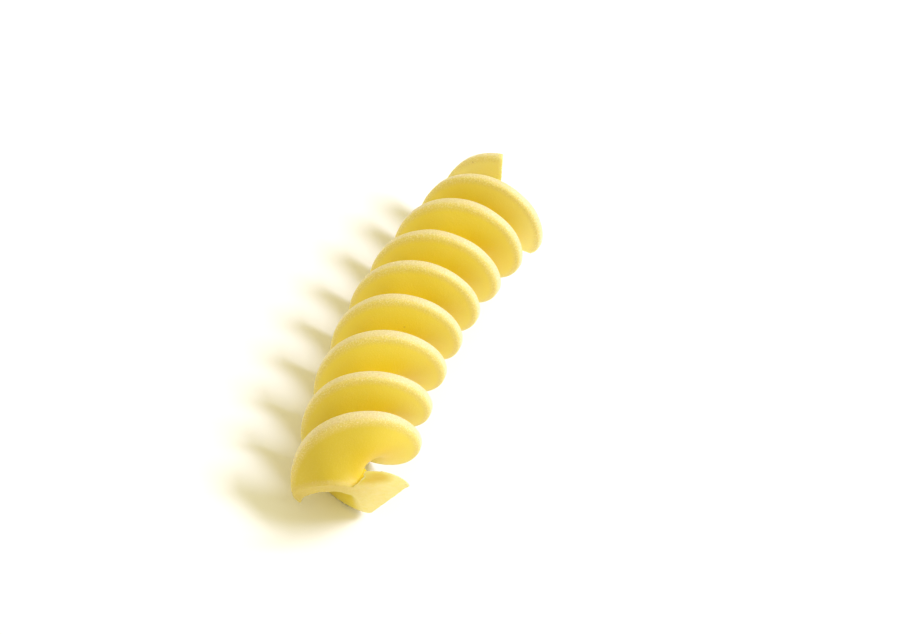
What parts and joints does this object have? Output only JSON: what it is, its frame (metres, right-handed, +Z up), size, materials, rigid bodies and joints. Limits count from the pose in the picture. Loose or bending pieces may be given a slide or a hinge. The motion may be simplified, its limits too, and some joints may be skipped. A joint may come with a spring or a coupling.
{
  "type": "fusilli pasta piece",
  "caption": "Dry corkscrew pasta piece: two blades twisted about one gently bent axis, pale rims, deep winding grooves and slanting cut ends.",
  "frame": {"origin": "centre of the bounding box on the table plane, where the piece lies on the small flats worn on its rims", "axes": "+X along the piece from the blunt end shown near the camera to the pointed far end, +Z up from the table, and the axis bends towards -Y"},
  "size_m": [0.0396, 0.0118, 0.0099],
  "materials": {
    "pasta": "matt to satin dry durum wheat dough, slightly translucent, paler at the rims"
  },
  "bodies": {
    "root": {"fusillo": "pasta"}
  },
  "joints": []
}
